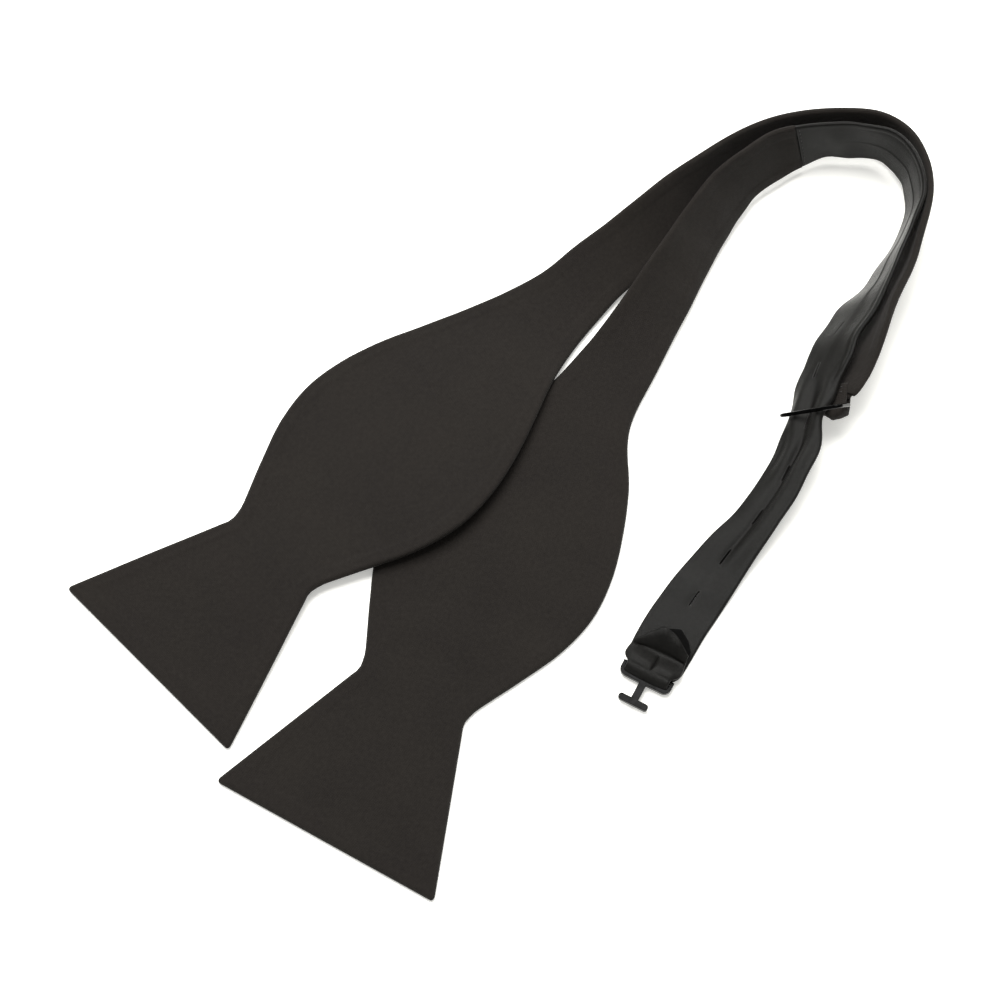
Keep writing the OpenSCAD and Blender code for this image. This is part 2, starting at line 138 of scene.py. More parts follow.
BULGE = [
    [48.6, 17.3], [53, 18.2], [59, 21], [67.5, 25.2], [81, 31.2],
    [94.5, 34.2], [108, 33.4], [121.5, 29.9], [137, 23.9],
]
WIDTH_A = np.array(BULGE + [
    [148.5, 19.2], [161, 15], [175, 11.9], [190, 10.6], [208, 10], [226, 9.8], [245, 9.7],
    [397, 9.7], [404, 8.4], [420, 7.8],
])
WIDTH_B = np.array(BULGE + [
    [147, 18.2], [157, 14.1], [172, 11.9], [188, 10.3], [203, 9.9], [218, 9.8], [234, 9.7],
    [262, 9.7], [275, 9.3], [345, 9.3], [357, 9], [368, 8.1], [381, 7.4], [397, 7], [410, 7],
    [422, 7.2], [435, 7.1], [448, 7.7], [460, 8.6], [480, 9], [488, 8.8], [494, 8.4], [500, 8.3],
])
SEAM, STRAP_END, BAND_END = 269.0, 493.5, 405.5
SLITS = [368.2, 384.5, 402, 420, 435.5, 450.5, 466.2]
SLIT_L, SLIT_W = 5.2, 0.34


def smooth(rows, s):
    """Values of a list's columns at distances s, eased from row to row."""
    s = np.asarray(s, float)
    x, v = rows[:, 0], rows[:, 1:]
    i = np.clip(np.searchsorted(x, s, side="right") - 1, 0, len(x) - 2)

    def slope(k):
        lo, hi = np.maximum(k - 1, 0), np.minimum(k + 1, len(x) - 1)
        return (v[hi] - v[lo]) / (x[hi] - x[lo])[..., None]

    d = x[i + 1] - x[i]
    t = ((s - x[i]) / d)[..., None]
    d = d[..., None]
    h1, h2 = 2 * t**3 - 3 * t**2 + 1, t**3 - 2 * t**2 + t
    return h1 * v[i] + h2 * d * slope(i) + (1 - h1) * v[i + 1] + (t**3 - t**2) * d * slope(i + 1)


def unit(v):
    return v / np.linalg.norm(v, axis=-1, keepdims=True)


def centre(path, s):
    return smooth(path, s)[..., :3] - MIDDLE


def ribbon(path, s):
    """Point, across (left), normal and along at distances s."""
    s = np.asarray(s, float)
    along = unit(centre(path, s + 0.5) - centre(path, s - 0.5))
    tilt = np.radians(smooth(path, s)[..., 3])[..., None]
    left = unit(np.stack([-along[..., 1], along[..., 0], np.zeros(s.shape)], -1))
    lift = np.cos(tilt) * left + np.sin(tilt) * np.array([0, 0, 1.0])
    up = unit(np.cross(along, lift))
    return centre(path, s), np.cross(up, along), up, along


def half_width(widths, s):
    s = np.asarray(s, float)
    tip = TIP_HALF + (WAIST_HALF - TIP_HALF) * s / WAIST
    body = smooth(widths, np.maximum(s, WAIST))[..., 0]
    near = np.clip((s - WAIST + 2.5) / 5, 0, 1)
    near = near * near * (3 - 2 * near)
    tip = np.where(s > WAIST, WAIST_HALF, tip)
    return tip * (1 - near) + body * near


def step(x, lo, hi):
    t = np.clip((x - lo) / (hi - lo), 0, 1)
    return t * t * (3 - 2 * t)


def bell(x, at, width):
    return np.exp(-(((x - at) / width) ** 2))


def round_over(d, radius):
    """Height from 0 at an edge to 1 at radius, as a quarter round."""
    t = 1 - np.clip(d / radius, 0, 1)
    return np.sqrt(np.clip(1 - t * t, 0, 1))


# ---------------------------------------------------------------- materials
def shader(name):
    m = bpy.data.materials.new(name)
    m.use_nodes = True
    nodes, links = m.node_tree.nodes, m.node_tree.links
    return m, nodes, links, nodes["Principled BSDF"]


def ramp(nodes, stops):
    r = nodes.new("ShaderNodeValToRGB")
    while len(r.color_ramp.elements) < len(stops):
        r.color_ramp.elements.new(0.5)
    for e, (at, colour) in zip(r.color_ramp.elements, stops):
        e.position = at
        e.color = (*colour, 1)
    return r


def noise(nodes, links, vector, scale, detail=3.0):
    n = nodes.new("ShaderNodeTexNoise")
    n.inputs["Scale"].default_value = scale
    n.inputs["Detail"].default_value = detail
    links.new(vector, n.inputs["Vector"])
    return n


def scaled(nodes, links, vector, scale):
    m = nodes.new("ShaderNodeMapping")
    m.inputs["Scale"].default_value = scale
    links.new(vector, m.inputs["Vector"])
    return m.outputs["Vector"]


def woven(name, dark, light, roughness, sheen, thread, strength, streak=0.0, specular=0.3):
    """Black cloth: threads both ways from the cloth's own UV, with slow changes of tone."""
    m, nodes, links, bsdf = shader(name)
    uv = nodes.new("ShaderNodeUVMap")
    uv.uv_map = "cloth"
    place = nodes.new("ShaderNodeTexCoord")
    tone = noise(nodes, links, place.outputs["Object"], 38.0, 4.0)
    grain = noise(nodes, links, place.outputs["Object"], 900.0, 2.0)
    colour = ramp(nodes, [(0.3, dark), (0.7, light)])
    mix = nodes.new("ShaderNodeMath")
    mix.operation = "MULTIPLY_ADD"
    mix.inputs[1].default_value = 0.45
    links.new(grain.outputs["Fac"], mix.inputs[0])
    half = nodes.new("ShaderNodeMath")
    half.operation = "MULTIPLY"
    half.inputs[1].default_value = 0.55
    links.new(tone.outputs["Fac"], half.inputs[0])
    links.new(half.outputs[0], mix.inputs[2])
    links.new(mix.outputs[0], colour.inputs["Fac"])
    links.new(colour.outputs["Color"], bsdf.inputs["Base Color"])
    heights = []
    for direction in ("X", "Y"):
        w = nodes.new("ShaderNodeTexWave")
        w.bands_direction = direction
        w.inputs["Scale"].default_value = thread
        w.inputs["Distortion"].default_value = 0.6
        w.inputs["Detail"].default_value = 1.0
        links.new(uv.outputs["UV"], w.inputs["Vector"])
        heights.append(w.outputs["Fac"])
    add = nodes.new("ShaderNodeMath")
    add.operation = "ADD"
    links.new(heights[0], add.inputs[0])
    links.new(heights[1], add.inputs[1])
    top = add
    if streak:
        stretched = noise(nodes, links, scaled(nodes, links, uv.outputs["UV"], (260, 34, 1)), 1.0, 3.0)
        top = nodes.new("ShaderNodeMath")
        top.operation = "MULTIPLY_ADD"
        top.inputs[1].default_value = streak
        links.new(stretched.outputs["Fac"], top.inputs[0])
        links.new(add.outputs[0], top.inputs[2])
    bump = nodes.new("ShaderNodeBump")
    bump.inputs["Strength"].default_value = strength
    bump.inputs["Distance"].default_value = 0.0002
    links.new(top.outputs[0], bump.inputs["Height"])
    links.new(bump.outputs["Normal"], bsdf.inputs["Normal"])
    rough = ramp(nodes, [(0.35, (roughness - 0.06,) * 3), (0.65, (roughness + 0.06,) * 3)])
    links.new(tone.outputs["Fac"], rough.inputs["Fac"])
    links.new(rough.outputs["Color"], bsdf.inputs["Roughness"])
    bsdf.inputs["Specular IOR Level"].default_value = specular
    bsdf.inputs["Sheen Weight"].default_value = sheen
    bsdf.inputs["Sheen Roughness"].default_value = 0.45
    return m


CLOTH = woven("blade_cloth",
              (0.0085, 0.0068, 0.0058), (0.0155, 0.0132, 0.0112),
              0.8, 0.05, 900.0, 0.5, 0.0, 0.13)
SATIN = woven("strap_satin",
              (0.0030, 0.0029, 0.0027), (0.0070, 0.0068, 0.0060),
              0.34, 0.01, 1500.0, 0.22, 1.6, 0.11)
# The satin's matte reverse for the pocket in the tent's mouth, coloured darker than the satin itself: painted
# shade for the shadow in the tent's mouth.
REVERSE_PAINTED_SHADE = woven("satin_reverse_painted_shade",
                (0.002, 0.002, 0.002), (0.004, 0.004, 0.004),
                0.9, 0.0, 1500.0, 0.3, 0.0, 0.05)
LINING = woven("interlining", (0.55, 0.51, 0.43), (0.70, 0.66, 0.57), 0.9, 0.3, 700.0, 0.6)


def thread_material():
    m, nodes, links, bsdf = shader("thread")
    place = nodes.new("ShaderNodeTexCoord")
    n = noise(nodes, links, place.outputs["Object"], 2600.0, 2.0)
    colour = ramp(nodes, [(0.35, (0.003, 0.003, 0.003)), (0.65, (0.011, 0.0105, 0.01))])
    links.new(n.outputs["Fac"], colour.inputs["Fac"])
    links.new(colour.outputs["Color"], bsdf.inputs["Base Color"])
    bump = nodes.new("ShaderNodeBump")
    bump.inputs["Strength"].default_value = 0.5
    bump.inputs["Distance"].default_value = 0.0001
    links.new(n.outputs["Fac"], bump.inputs["Height"])
    links.new(bump.outputs["Normal"], bsdf.inputs["Normal"])
    bsdf.inputs["Roughness"].default_value = 0.5
    return m


def metal_material():
    m, nodes, links, bsdf = shader("black_metal")
    place = nodes.new("ShaderNodeTexCoord")
    n = noise(nodes, links, place.outputs["Object"], 420.0, 4.0)
    colour = ramp(nodes, [(0.35, (0.003, 0.003, 0.003)), (0.7, (0.006, 0.006, 0.0062))])
    links.new(n.outputs["Fac"], colour.inputs["Fac"])
    links.new(colour.outputs["Color"], bsdf.inputs["Base Color"])
    rough = ramp(nodes, [(0.3, (0.16,) * 3), (0.75, (0.28,) * 3)])
    links.new(n.outputs["Fac"], rough.inputs["Fac"])
    links.new(rough.outputs["Color"], bsdf.inputs["Roughness"])
    bevel = nodes.new("ShaderNodeBevel")
    bevel.samples = 6
    bevel.inputs["Radius"].default_value = 0.00035
    bump = nodes.new("ShaderNodeBump")
    bump.inputs["Strength"].default_value = 0.15
    bump.inputs["Distance"].default_value = 0.0001
    links.new(n.outputs["Fac"], bump.inputs["Height"])
    links.new(bevel.outputs["Normal"], bump.inputs["Normal"])
    links.new(bump.outputs["Normal"], bsdf.inputs["Normal"])
    bsdf.inputs["Metallic"].default_value = 1.0
    return m


THREAD = thread_material()
METAL = metal_material()


# ---------------------------------------------------------------- mesh building
def add_mesh(name, points, faces, material, uvs=None, smooth_faces=True):
    mesh = bpy.data.meshes.new(name)
    mesh.from_pydata([tuple(p * MM) for p in points], [], faces)
    layer = mesh.uv_layers.new(name="cloth")
    if uvs is None:
        uvs = points[:, :2]
    index = np.empty(len(mesh.loops), np.int32)
    mesh.loops.foreach_get("vertex_index", index)
    layer.data.foreach_set("uv", (np.asarray(uvs, float)[index] * MM).astype(np.float32).ravel())
    mesh.polygons.foreach_set("use_smooth", [smooth_faces] * len(mesh.polygons))
    mesh.materials.append(material)
    mesh.update()
    obj = bpy.data.objects.new(name, mesh)
    bpy.context.scene.collection.objects.link(obj)
    return obj


def grid_faces(rows, cols, flip=False, skip=None, closed=False):
    faces = []
    for i in range(rows - 1):
        for j in range(cols if closed else cols - 1):
            if skip is not None and skip[i, j]:
                continue
            k = (j + 1) % cols
            f = (i * cols + j, i * cols + k, (i + 1) * cols + k, (i + 1) * cols + j)
            faces.append(f[::-1] if flip else f)
    return faces


EDGE_STEPS = np.array([0, 0.1, 0.3, 0.6, 1.0, 1.5, 2.2, 3.1, 3.9, 4.5, 5.1, 5.9])
MIDDLE_COLS = 18


def columns(half):
    """Distances across at each station: close together near both edges."""
    shrink = np.minimum(1, half / 10.5)[:, None]
    edge = EDGE_STEPS[None, :] * shrink
    left = half[:, None] - edge
    t = np.linspace(1, -1, MIDDLE_COLS + 2)[1:-1][None, :]
    mid = left[:, -1:] * t
    return np.concatenate([left, mid, -left[:, ::-1]], 1)


def stations(first, last, gap, ends=()):
    s = list(np.linspace(first, last, int(round((last - first) / gap)) + 1))
    for e, sign in ends:
        s += [e + sign * v for v in EDGE_STEPS]
    s = np.array(sorted(s))
    keep = np.concatenate([[True], np.diff(s) > 0.05])
    return s[keep]


def waves(s, a, seed, amount, length):
    """Slow, seeded undulation over a strip."""
    rng = np.random.default_rng(seed)
    total = np.zeros(np.broadcast(s, a).shape)
    for _ in range(5):
        ks, ka = rng.uniform(0.6, 1.6) / length, rng.uniform(-0.7, 0.7) / length
        total += np.sin(2 * np.pi * (ks * s + ka * a) + rng.uniform(0, 6.28))
    return amount * total / 2.2


# ---------------------------------------------------------------- blades and bands
def blade_thickness(s, a, half, end_at, full):
    """Half thickness of a sewn blade: round edge, seam allowance ridge, softer middle."""
    side = half - np.abs(a)
    d = np.minimum(side, s)
    d = np.where(s > end_at - 2, np.minimum(d, np.maximum(end_at - s, 0)), d)
    ridge = np.minimum(side, s * 0.82)
    width = np.minimum(1, half / 12)
    t = round_over(d, 1.2) * (1 - 0.17 * step(ridge, 4.0 * width, 5.4 * width))
    t -= 0.05 * bell(s, 2.9, 0.7) * step(side, 0.5, 2)
    t -= 0.05 * bell(side, 2.6, 0.6) * step(s, 0.5, 2) * (s < 190)
    return full * np.clip(t, 0, None)


def blade_shape_a(s, a, half):
    """How far half A's cloth lies off its centre line's surface, both faces together."""
    band = step(s, 175, 215)
    off = band * waves(s, a, 3, 0.42, 34)
    off += 0.5 * bell(s, 330, 16) * (a / half) ** 2
    return off * (1 - step(s, 392, 400))


def outer_lobe(s, a, half):
    """Half A's end stays wide on its outer side until it turns into the loop."""
    return 1.8 * bell(s, 399, 5.5) * step(a / half, 0.1, 1)


def blade_shape_b(s, a, half):
    band = step(s, 185, 225)
    off = band * waves(s, a, 8, 0.45, 30)
    off -= 0.9 * bell(s, 237, 5) * step(-a / half, 0.0, 0.9)
    return off * (1 - 0.6 * step(s, 255, 269))


def full_a(s):
    return np.interp(s, [0, 380, 396, 420], [1.1, 1.1, 0.6, 0.6])


def top_relief(s, a, seed):
    """Shallow unevenness of the front cloth over its lining."""
    return waves(s, a, seed, 0.10, 26) + waves(s, a, seed + 1, 0.05, 11)


def seam_skew(s, a):
    """The strap's seam runs a little slantwise over the band."""
    return s - 1.5 * a / 9.7 * bell(s, SEAM, 13)


def straight(s, a):
    return s + 0 * a


def nothing(s, a, half):
    return 0 * a


def blade(name, path, widths, end_at, full, shape, outer, skew, seed,
          front_nodes, back_nodes, lining_nodes):
    s = stations(0, end_at, 1.9, [(0, 1), (end_at, -1)])
    half = half_width(widths, s)
    corner = np.clip(1.6 - s, 0, 1.6)
    half = half - (1.6 - np.sqrt(np.clip(1.6**2 - corner**2, 0, None)))
    a = columns(half)
    ss, hh = np.repeat(s[:, None], a.shape[1], 1), np.repeat(half[:, None], a.shape[1], 1)
    t = blade_thickness(ss, a, hh, end_at, full(ss))
    off = shape(ss, a, hh)
    a = a + outer(ss, a, hh)
    o, across, up, _ = ribbon(path, skew(ss, a))
    uvs = np.stack([a, ss], -1).reshape(-1, 2)
    pieces = []
    for label, sign, nodes in (("front", 1, front_nodes), ("back", -1, back_nodes)):
        relief = top_relief(ss, a, seed) * np.clip(t - 0.3, 0, 1) if sign > 0 else 0
        h = off + sign * t + relief
        p = o + a[..., None] * across + h[..., None] * up
        p[..., 2] = np.maximum(p[..., 2], 0.02)
        obj = add_mesh(f"{name}_{label}", p.reshape(-1, 3), grid_faces(*a.shape, flip=sign < 0), CLOTH, uvs)
        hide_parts(*nodes)
        pieces.append(obj)
    # interlining: a thin closed slab between the two cloths
    inner = stations(3, end_at - 3, 1.9)
    ih = half_width(widths, inner) - 2.6 - 1.5 * bell(inner, WAIST, 12)
    rows = []
    o2, ac2, up2, _ = ribbon(path, inner)
    it = (full(inner) - 0.62) * (1 - 0.75 * bell(inner, WAIST, 12))
    k = np.linspace(-1, 1, 9)
    sh = shape(inner[:, None], k[None] * ih[:, None], ih[:, None])
    for sign in (1, -1):
        cols = k if sign > 0 else k[::-1]
        q = o2[:, None] + (cols[None] * ih[:, None])[..., None] * ac2[:, None]
        lift = (sh if sign > 0 else sh[:, ::-1]) + sign * np.maximum(it, 0.05)[:, None]
        rows.append(q + lift[..., None] * up2[:, None])
    ring = np.concatenate(rows, 1)
    n = ring.shape[1]
    faces = grid_faces(len(inner), n, closed=True)
    faces += [tuple(range(n))[::-1], tuple((len(inner) - 1) * n + j for j in range(n))]
    lining = add_mesh(f"{name}_interlining", ring.reshape(-1, 3), faces, LINING, None, False)
    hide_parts(*lining_nodes)
    pieces.append(lining)
    # the centre-line point at the waist, which is not used
    f = [v[0] for v in ribbon(path, np.array([WAIST]))]
    for obj in pieces:
        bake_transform(obj)
    return pieces


A_PIECES = blade("blade_a", PATH_A, WIDTH_A, BAND_END, full_a, blade_shape_a, outer_lobe, straight, 21,
                 ["a_tip_front", "a_front"], ["a_tip_back", "a_back"],
                 ["a_tip_interlining", "a_interlining"])
B_PIECES = blade("blade_b", PATH_B, WIDTH_B, SEAM, lambda s: np.full(np.shape(s), 1.1),
                 blade_shape_b, nothing, seam_skew, 41,
                 ["b_tip_front", "b_front"], ["b_tip_back", "b_back"],
                 ["b_tip_interlining", "b_interlining"])

# ---------------------------------------------------------------- satin strap
def strap_columns(half):
    """As columns(), with a pair of columns on the sides of the slits."""
    shrink = np.minimum(1, half / 10.5)[:, None]
    edge = np.array([0, 0.08, 0.22, 0.42, 0.7, 1.1, 1.6, 2.1, 2.7, 3.4])[None] * shrink
    left = half[:, None] - edge
    inner = SLIT_W / 2 + np.array([0, 0.3, 0.8, 1.6, 2.6, 3.7])[::-1]
    inner = np.repeat(inner[None], len(half), 0) * np.minimum(1, (left[:, -1:] - 0.4) / 4.3)
    inner[:, -1] = SLIT_W / 2
    side = np.concatenate([left, inner], 1)
    return np.concatenate([side, -side[:, ::-1]], 1)


def strap_stations():
    s = list(np.arange(SEAM, STRAP_END + 0.2, 1.5)) + [STRAP_END] + [SEAM + v for v in EDGE_STEPS[:7]]
    s = [v for v in s if all(abs(v - c) > SLIT_L / 2 + 0.4 for c in SLITS)]
    for c in SLITS:
        s += list(c + np.linspace(-SLIT_L / 2 - 0.3, SLIT_L / 2 + 0.3, 8))
        s += [c - SLIT_L / 2, c + SLIT_L / 2]
    s = np.array(sorted(s))
    return s[np.concatenate([[True], np.diff(s) > 0.04])]


# How far the strap's inner edge is pushed out towards band A round the bend, by distance
PUSH_AT = [270, 278, 286, 291, 296, 301, 306, 312, 318, 324, 332, 345]
PUSH_BY = [0, 1.5, 0.1, 0.7, 2.1, 2.0, 2.2, 1.0, 1.3, 0.4, 0.2, 0]


def inner_push(s):
    soft = [np.interp(np.asarray(s) + d, PUSH_AT, PUSH_BY) for d in (-1.5, -0.5, 0.5, 1.5)]
    return sum(soft) / 4


def strap_outline(s, sign):
    """How far the strap's edge stands in or out of its plain width."""
    wave = np.sin(2 * np.pi * s / 17 + (0 if sign > 0 else 1.3))
    out = 0.25 * wave * step(s, 280, 300) * (1 - step(s, 400, 440))
    if sign < 0:
        out += 1.5 * bell(s, 362, 10) + 0.8 * bell(s, 390, 9) - 0.6 * inner_push(s)
    else:
        out -= 1.9 * bell(s, 400, 6.5) - 0.4 * bell(s, 383, 8)
    return out


def slit_shift(s):
    """How far the line of buttonholes stands off the middle, towards the inner edge above the ring."""
    return -2.3 * step(s, 350, 362) * (1 - step(s, 388, 399))


def strap_fold(s, a, half):
    """Waves of the strap as a whole, and its pleats where the ring gathers it."""
    off = waves(s, a, 15, 0.30, 24) * step(s, 274, 290) * (1 - step(s, 462, 478))
    off += 0.95 * bell(s, 397, 9) * np.cos(2 * np.pi * (a + 4.3) / 7.5)
    off += 0.55 * bell(s, 414, 8) * np.cos(2 * np.pi * a / 6.0 + 2.2)
    off -= 0.6 * inner_push(s) * step(-a / half, -0.8, 1)
    # puckers across the bend
    off += 0.70 * bell(s, 281, 3.5) * bell(a, 0, 6) + 0.6 * bell(s, 303, 4) * bell(a, -1, 5)
    # the lengthwise crease below the ring, through the buttonholes
    crease = step(s, 404, 412) * (1 - step(s, 440, 462))
    off += crease * (0.75 * bell(a, 3.3, 1.7) - 0.65 * bell(a, 0.2, 1.1) + 0.25 * bell(a, -4, 2))
    for k, c in enumerate(SLITS):
        off -= 0.12 * bell(s, c, 3.6) * bell(a, slit_shift(s), 0.9)
        off += 0.14 * bell(s, c, 4.5) * bell(a, 2.6 * (1 if k % 2 else -1), 1.5)
    return off


def strap():
    s = strap_stations()
    half = half_width(WIDTH_B, s)
    a = strap_columns(half)
    stretch_l = 1 + strap_outline(s, 1) / half
    stretch_r = 1 + strap_outline(s, -1) / half
    fade = step(np.abs(a) / half[:, None], 0.3, 1)
    corner = np.clip((s - STRAP_END + 4.5) / 4.5, 0, 1)
    stretch_l = stretch_l - 0.42 * (1 - np.sqrt(1 - corner**2))
    stretch_r = stretch_r - 0.42 * (1 - np.sqrt(1 - corner**2))
    a = a * (1 + fade * (np.where(a > 0, stretch_l[:, None], stretch_r[:, None]) - 1))
    a = a + slit_shift(s)[:, None] * (1 - (np.abs(a) / np.abs(a).max(1, keepdims=True)) ** 2)
    ss, hh = np.repeat(s[:, None], a.shape[1], 1), np.repeat(half[:, None], a.shape[1], 1)
    edge_now = np.where(a > 0, a[:, :1], -a[:, -1:])
    side = edge_now - np.abs(a)
    d = np.minimum(side, np.maximum(ss - SEAM, 0) + 0.35)
    full = np.interp(ss, [470, 484, 500], [0.75, 0.5, 0.5])
    ridge = np.where(a > 0, 0.30, 0.05) * step(ss, 284, 296) * (1 - step(ss, 388, 398)) + 0.03
    t = full * round_over(d, 0.8) * (1 - ridge * step(side, 1.4, 2.0) * (1 - 0.7 * bell(side, 2.9, 0.5)))
    off = strap_fold(ss, a, hh)
    o, across, up, _ = ribbon(PATH_B, seam_skew(ss, a))
    cols = a.shape[1]
    mid = cols // 2
    skip = np.zeros((len(s), cols), bool)
    for c in SLITS:
        inside = (s > c - SLIT_L / 2 - 0.02) & (s < c + SLIT_L / 2 - 0.02)
        skip[inside, mid - 1] = True
    uvs = np.stack([a, ss], -1).reshape(-1, 2)
    made = []
    for label, sign, node in (("face", 1, "strap_face"), ("back", -1, "strap_back")):
        h = off + sign * t
        p = o + a[..., None] * across + h[..., None] * up
        p[..., 2] = np.maximum(p[..., 2], 0.02)
        points, faces = list(p.reshape(-1, 3)), grid_faces(*a.shape, flip=sign < 0, skip=skip)
        uv = list(uvs)
        # the cut edges of the slits turn in to the middle of the strap
        closed = a.copy()
        closed[:, mid - 1] = (a[:, mid - 1] + a[:, mid]) / 2 + 0.01
        closed[:, mid] = closed[:, mid - 1] - 0.02
        centre_p = o + closed[..., None] * across + off[..., None] * up
        for c in SLITS:
            rows = [i for i in range(len(s)) if c - SLIT_L / 2 - 0.02 < s[i] < c + SLIT_L / 2 + 0.02]
            loop = [(i, mid - 1) for i in rows] + [(i, mid) for i in rows[::-1]]
            base = len(points)
            for i, j in loop:
                points.append(centre_p[i, j])
                uv.append(uvs[i * cols + j])
            n = len(loop)
            for k in range(n):
                i, j = loop[k]
                i2, j2 = loop[(k + 1) % n]
                f = (i * cols + j, i2 * cols + j2, base + (k + 1) % n, base + k)
                faces.append(f if sign < 0 else f[::-1])
        obj = add_mesh(f"strap_{label}_cloth", np.array(points), faces, SATIN, np.array(uv))
        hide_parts(node)
        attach(obj, "half_b")
        made.append(obj)
    # interlining: one strip, then one on each side of the buttonholes
    strips_p, strips_f = [], []
    for first, last, lo, hi in ((SEAM + 3, 363, -1, 1), (364.5, 483, -1, 0), (364.5, 483, 0, 1)):
        t_s = np.arange(first, last, 2.0)
        h_s = half_width(WIDTH_B, t_s) - 2.6
        edge_lo = -h_s if lo else 0.6 + slit_shift(t_s)
        edge_hi = h_s if hi else slit_shift(t_s) - 0.6
        k = np.linspace(0, 1, 5)
        q = edge_lo[:, None] * (1 - k) + edge_hi[:, None] * k
        f_s = strap_fold(t_s[:, None], q, h_s[:, None])
        oo, ac, uu, _ = ribbon(PATH_B, t_s)
        ring = []
        for sign in (1, -1):
            qq, ff = (q, f_s) if sign > 0 else (q[:, ::-1], f_s[:, ::-1])
            lift = (ff + sign * 0.12)[..., None] * uu[:, None]
            ring.append(oo[:, None] + qq[..., None] * ac[:, None] + lift)
        ring = np.concatenate(ring, 1)
        n, base = ring.shape[1], len(strips_p)
        new = grid_faces(len(t_s), n, closed=True)
        new += [tuple(range(n))[::-1], tuple((len(t_s) - 1) * n + j for j in range(n))]
        strips_f += [tuple(v + base for v in f) for f in new]
        strips_p += list(ring.reshape(-1, 3))
    lining = add_mesh("strap_inner_lining", np.array(strips_p), strips_f, LINING, None, False)
    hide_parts("strap_interlining")
    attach(lining, "half_b")
    return made


STRAP_PIECES = strap()


# ---------------------------------------------------------------- stitches
def stitches(name, segments, radius, nodes, body):
    """Short rounded stitches, each from one point to another over a surface."""
    points, faces, around = [], [], 7
    for p0, p1, normal in segments:
        axis = unit(p1 - p0)
        side = unit(np.cross(axis, normal))
        length = np.linalg.norm(p1 - p0)
        rings = []
        for k in np.linspace(0, 1, 6):
            r = radius * math.sqrt(max(1 - (2 * k - 1) ** 4, 0.05))
            lift = radius * (0.1 + 0.55 * (1 - (2 * k - 1) ** 2))
            c = p0 + axis * length * k + normal * lift
            ang = np.linspace(0, 2 * np.pi, around, endpoint=False)
            rings.append([c + r * (math.cos(x) * side + math.sin(x) * normal) for x in ang])
        base = len(points)
        points += [p for ring in rings for p in ring]
        new = grid_faces(6, around, closed=True)
        new += [tuple(range(around))[::-1], tuple(5 * around + j for j in range(around))]
        faces += [tuple(v + base for v in f) for f in new]
    obj = add_mesh(name, np.array(points), faces, THREAD)
    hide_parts(*nodes)
    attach(obj, body)
    return obj


def strap_surface(s, a, lift=0.0):
    """Point on the strap's face and the normal there."""
    s, a = np.array([float(s)]), np.array([float(a)])
    o, across, up, _ = ribbon(PATH_B, seam_skew(s, a))
    half = half_width(WIDTH_B, s)
    full = np.interp(s, [470, 484, 500], [0.75, 0.5, 0.5])
    h = strap_fold(s, a, half) + full * 0.9 + lift
    return (o + a[:, None] * across + h[:, None] * up)[0], up[0]


buttonhole = []
for c in SLITS:
    mid = slit_shift(c)
    for side in (-1, 1):
        for along_at in np.arange(-SLIT_L / 2, SLIT_L / 2 + 0.01, 0.26):
            inner, n = strap_surface(c + along_at, mid + side * (SLIT_W / 2 + 0.02), -0.10)
            outer, _ = strap_surface(c + along_at, mid + side * (SLIT_W / 2 + 0.42), -0.06)
            buttonhole.append((inner, outer, n))
    for end in (-1, 1):
        for across_at in np.linspace(-0.3, 0.3, 3):
            inner, n = strap_surface(c + end * (SLIT_L / 2), mid + across_at, -0.09)
            outer, _ = strap_surface(c + end * (SLIT_L / 2 + 0.45), mid + across_at, -0.06)
            buttonhole.append((inner, outer, n))
stitches("buttonhole_thread", buttonhole, 0.09, ["buttonhole_stitches"], "half_b")

SEAM_STEP, SEAM_HALF = 1.6, 0.55
seam = []
for k in range(-5, 6):
    p0, n = strap_surface(SEAM + 0.9, k * SEAM_STEP - SEAM_HALF)
    p1, _ = strap_surface(SEAM + 0.9, k * SEAM_STEP + SEAM_HALF)
    seam.append((p0, p1, n))
stitches("strap_seam_thread", seam, 0.16, ["b_strap_seam"], "half_b")

# ---------------------------------------------------------------- ring loop
BAR = np.array([96.9, 26.6, 7.6]) - MIDDLE
YAW, PITCH = math.radians(-8), math.radians(33)
LOOP_X = np.array([math.cos(YAW) * math.cos(PITCH), math.sin(YAW) * math.cos(PITCH), math.sin(PITCH)])
LOOP_Y = np.array([-math.sin(YAW), math.cos(YAW), 0.0])
LOOP_Z = np.cross(LOOP_X, LOOP_Y)
LOOP_HALF, LOOP_BORE, LOOP_T, LOOP_LEG = 7.4, 0.8, 0.95, 7.0


def loop_profile():
    """Closed outline in the loop's (along, height) plane: outer side, then inner side back."""
    outer = LOOP_BORE + LOOP_T
    legs = np.linspace(LOOP_LEG, 0.6, 7)
    arc = np.linspace(90, 270, 17)
    out = [(y, outer - 0.3 * step(y, 4.5, LOOP_LEG)) for y in legs]
    out += [(outer * math.cos(math.radians(d)), outer * math.sin(math.radians(d))) for d in arc]
    out += [(y, -outer + 0.3 * step(y, 4.5, LOOP_LEG)) for y in legs[::-1]]
    inn = [(y, -LOOP_BORE) for y in legs]
    inn += [(LOOP_BORE * math.cos(math.radians(d)), LOOP_BORE * math.sin(math.radians(d))) for d in arc[::-1]]
    inn += [(y, LOOP_BORE) for y in legs[::-1]]
    return np.array(out), np.array(inn)


